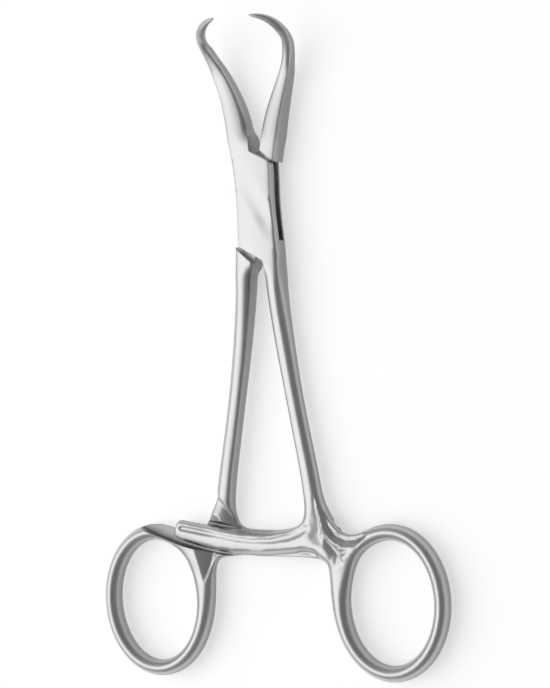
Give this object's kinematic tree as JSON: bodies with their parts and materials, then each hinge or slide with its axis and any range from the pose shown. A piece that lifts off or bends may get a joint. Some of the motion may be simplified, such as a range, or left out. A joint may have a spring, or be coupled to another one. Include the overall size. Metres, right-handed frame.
{
  "type": "bone holding forceps",
  "caption": "Ring-handled forceps with a box lock, a ratchet between the handles and slim jaws that curve forward to pointed tips facing each other.",
  "frame": {"origin": "on the pivot axis, in the rear face of the box lock, which lies on the table", "axes": "+Y along the instrument towards the jaws, +Z along the pivot axis out of the front face, +X to the right seen from the front"},
  "size_m": [0.0786, 0.1347, 0.0125],
  "materials": {
    "satin_steel_box": "satin polished stainless steel",
    "satin_steel_through": "satin polished stainless steel",
    "ground_steel_pin": "stainless steel ground flush with the lock"
  },
  "bodies": {
    "box_side": {"box_half": "satin_steel_box", "pivot_pin": "ground_steel_pin"},
    "through_side": {"through_half": "satin_steel_through"}
  },
  "joints": [
    {"name": "box_lock_pivot", "type": "hinge", "parent": "box_side", "child": "through_side", "pos_m": [0, 0, 0], "axis": [0, 0, -1], "range_deg": [-11.5, 60]}
  ]
}
